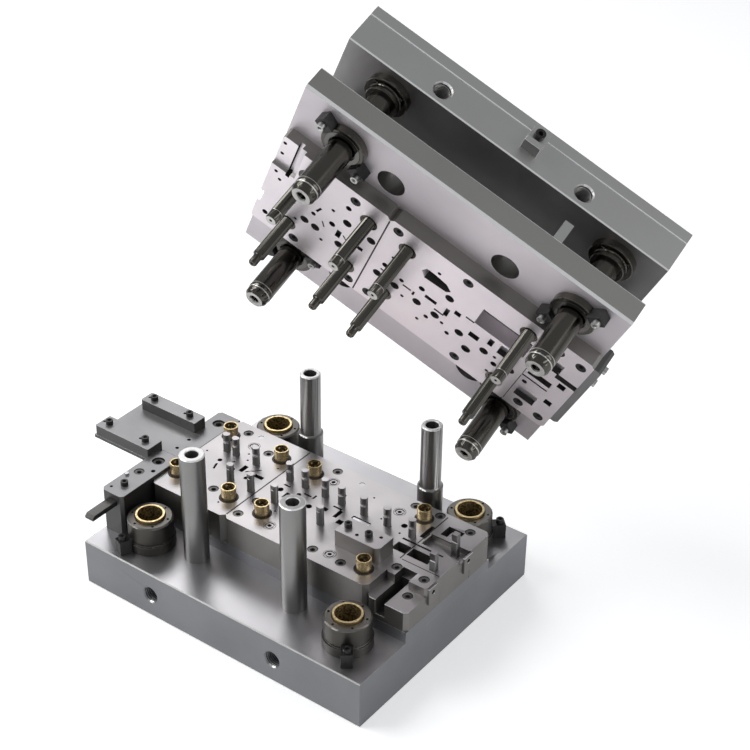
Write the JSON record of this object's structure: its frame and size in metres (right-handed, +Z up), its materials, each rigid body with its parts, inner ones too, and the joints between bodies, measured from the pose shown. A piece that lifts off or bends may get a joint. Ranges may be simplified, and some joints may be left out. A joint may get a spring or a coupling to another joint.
{
  "type": "progressive fine blanking die set",
  "caption": "Opened fine blanking die set: lower shoe with ball-cage guide bushes, stop posts and stock lifters, upper half with pillars and stripper turned up.",
  "frame": {"origin": "centre of the underside of the lower shoe", "axes": "+Z up along the press stroke of the lower half, +X along the strip from the feed table to the cut-off end, +Y to the back"},
  "size_m": [0.7163, 0.518, 0.7536],
  "materials": {
    "shoe_steel": "ground",
    "ground_steel": "ground",
    "black_oxide": "black oxide",
    "hardened_steel": "hardened",
    "bright_steel": "polished",
    "cage_brass": "satin",
    "urethane": "matt"
  },
  "bodies": {
    "lower_half": {"lower_shoe": "shoe_steel", "backing_plate": "shoe_steel", "left_die_plate": "ground_steel", "middle_die_plate": "ground_steel", "die_insert": "bright_steel", "end_front_block": "ground_steel", "end_bridge_plate": "ground_steel", "end_centre_block": "ground_steel", "end_back_block": "ground_steel", "end_covers": "shoe_steel", "die_screws": "black_oxide", "ring_plugs": "ground_steel", "die_dowels": "ground_steel", "raised_block": "ground_steel", "entry_bar": "ground_steel", "feed_table": "shoe_steel", "front_rail": "ground_steel", "back_rail": "ground_steel", "m6_screws": "black_oxide", "outer_bushes": "hardened_steel", "lower_clamps": "black_oxide", "inner_bushes": "hardened_steel", "lifter_springs": "urethane", "front_posts": "ground_steel", "back_posts": "ground_steel", "m10_screws": "black_oxide"},
    "finger": {"finger_stop": "black_oxide"},
    "stock_lifters": {"lifters": "ground_steel", "end_lifters": "ground_steel"},
    "inner_cages": {"inner_ball_cages": "cage_brass"},
    "outer_cages": {"outer_ball_cages": "cage_brass"},
    "turning_rod": {"knockout_rod": "ground_steel"},
    "top_half": {"top_shoe": "shoe_steel", "top_plate": "shoe_steel", "top_screws": "black_oxide", "strap_block": "shoe_steel", "strap_screw": "black_oxide", "guide_pillars": "hardened_steel", "pillar_collars": "hardened_steel", "punch_plate": "shoe_steel", "punch_plate_screws": "black_oxide", "round_punches": "ground_steel", "shaped_punches": "ground_steel", "front_guide_pins": "hardened_steel", "back_guide_pins": "hardened_steel", "gas_springs": "black_oxide"},
    "stripper": {"stripper_plate": "ground_steel", "left_insert": "ground_steel", "middle_insert": "ground_steel", "end_insert": "ground_steel", "stripper_bushes": "hardened_steel", "bush_rings": "bright_steel", "upper_clamps": "black_oxide", "upper_m6_screws": "bright_steel", "pin_sleeves": "hardened_steel", "insert_screws": "black_oxide", "end_strap": "shoe_steel", "spool_bolts": "black_oxide", "gas_rods": "bright_steel", "stand_off_bar": "bright_steel"}
  },
  "joints": [
    {"name": "finger_slide", "type": "slide", "parent": "lower_half", "child": "finger", "axis": [0, 1, 0], "range_m": [0, 0.01]},
    {"name": "lifter_stroke", "type": "slide", "parent": "lower_half", "child": "stock_lifters", "axis": [0, 0, -1], "range_m": [0, 0.02], "deforming": ["lifter_springs"]},
    {"name": "inner_cage_roll", "type": "slide", "parent": "lower_half", "child": "inner_cages", "axis": [0, 0, -1], "range_m": [0, 0.04]},
    {"name": "outer_cage_roll", "type": "slide", "parent": "lower_half", "child": "outer_cages", "axis": [0, 0, -1], "range_m": [0, 0.033]},
    {"name": "upper_turn", "type": "hinge", "parent": "lower_half", "child": "turning_rod", "pos_m": [0.1443, 0.1719, 0.2503], "axis": [0.9028, -0.221, -0.3689], "range_deg": [0, 76.7]},
    {"name": "press_stroke", "type": "slide", "parent": "turning_rod", "child": "top_half", "axis": [0.0414, -0.9414, -0.3348], "range_m": [0, 0.11]},
    {"name": "stripper_travel", "type": "slide", "parent": "top_half", "child": "stripper", "axis": [-0.0414, 0.9414, 0.3348], "range_m": [0, 0.01]}
  ],
  "couplings": [
    {"joint": "lifter_stroke", "follows": "press_stroke", "ratio": 0.18182},
    {"joint": "inner_cage_roll", "follows": "press_stroke", "ratio": 0.36364},
    {"joint": "outer_cage_roll", "follows": "press_stroke", "ratio": 0.3},
    {"joint": "stripper_travel", "follows": "press_stroke", "ratio": 0.090909}
  ]
}
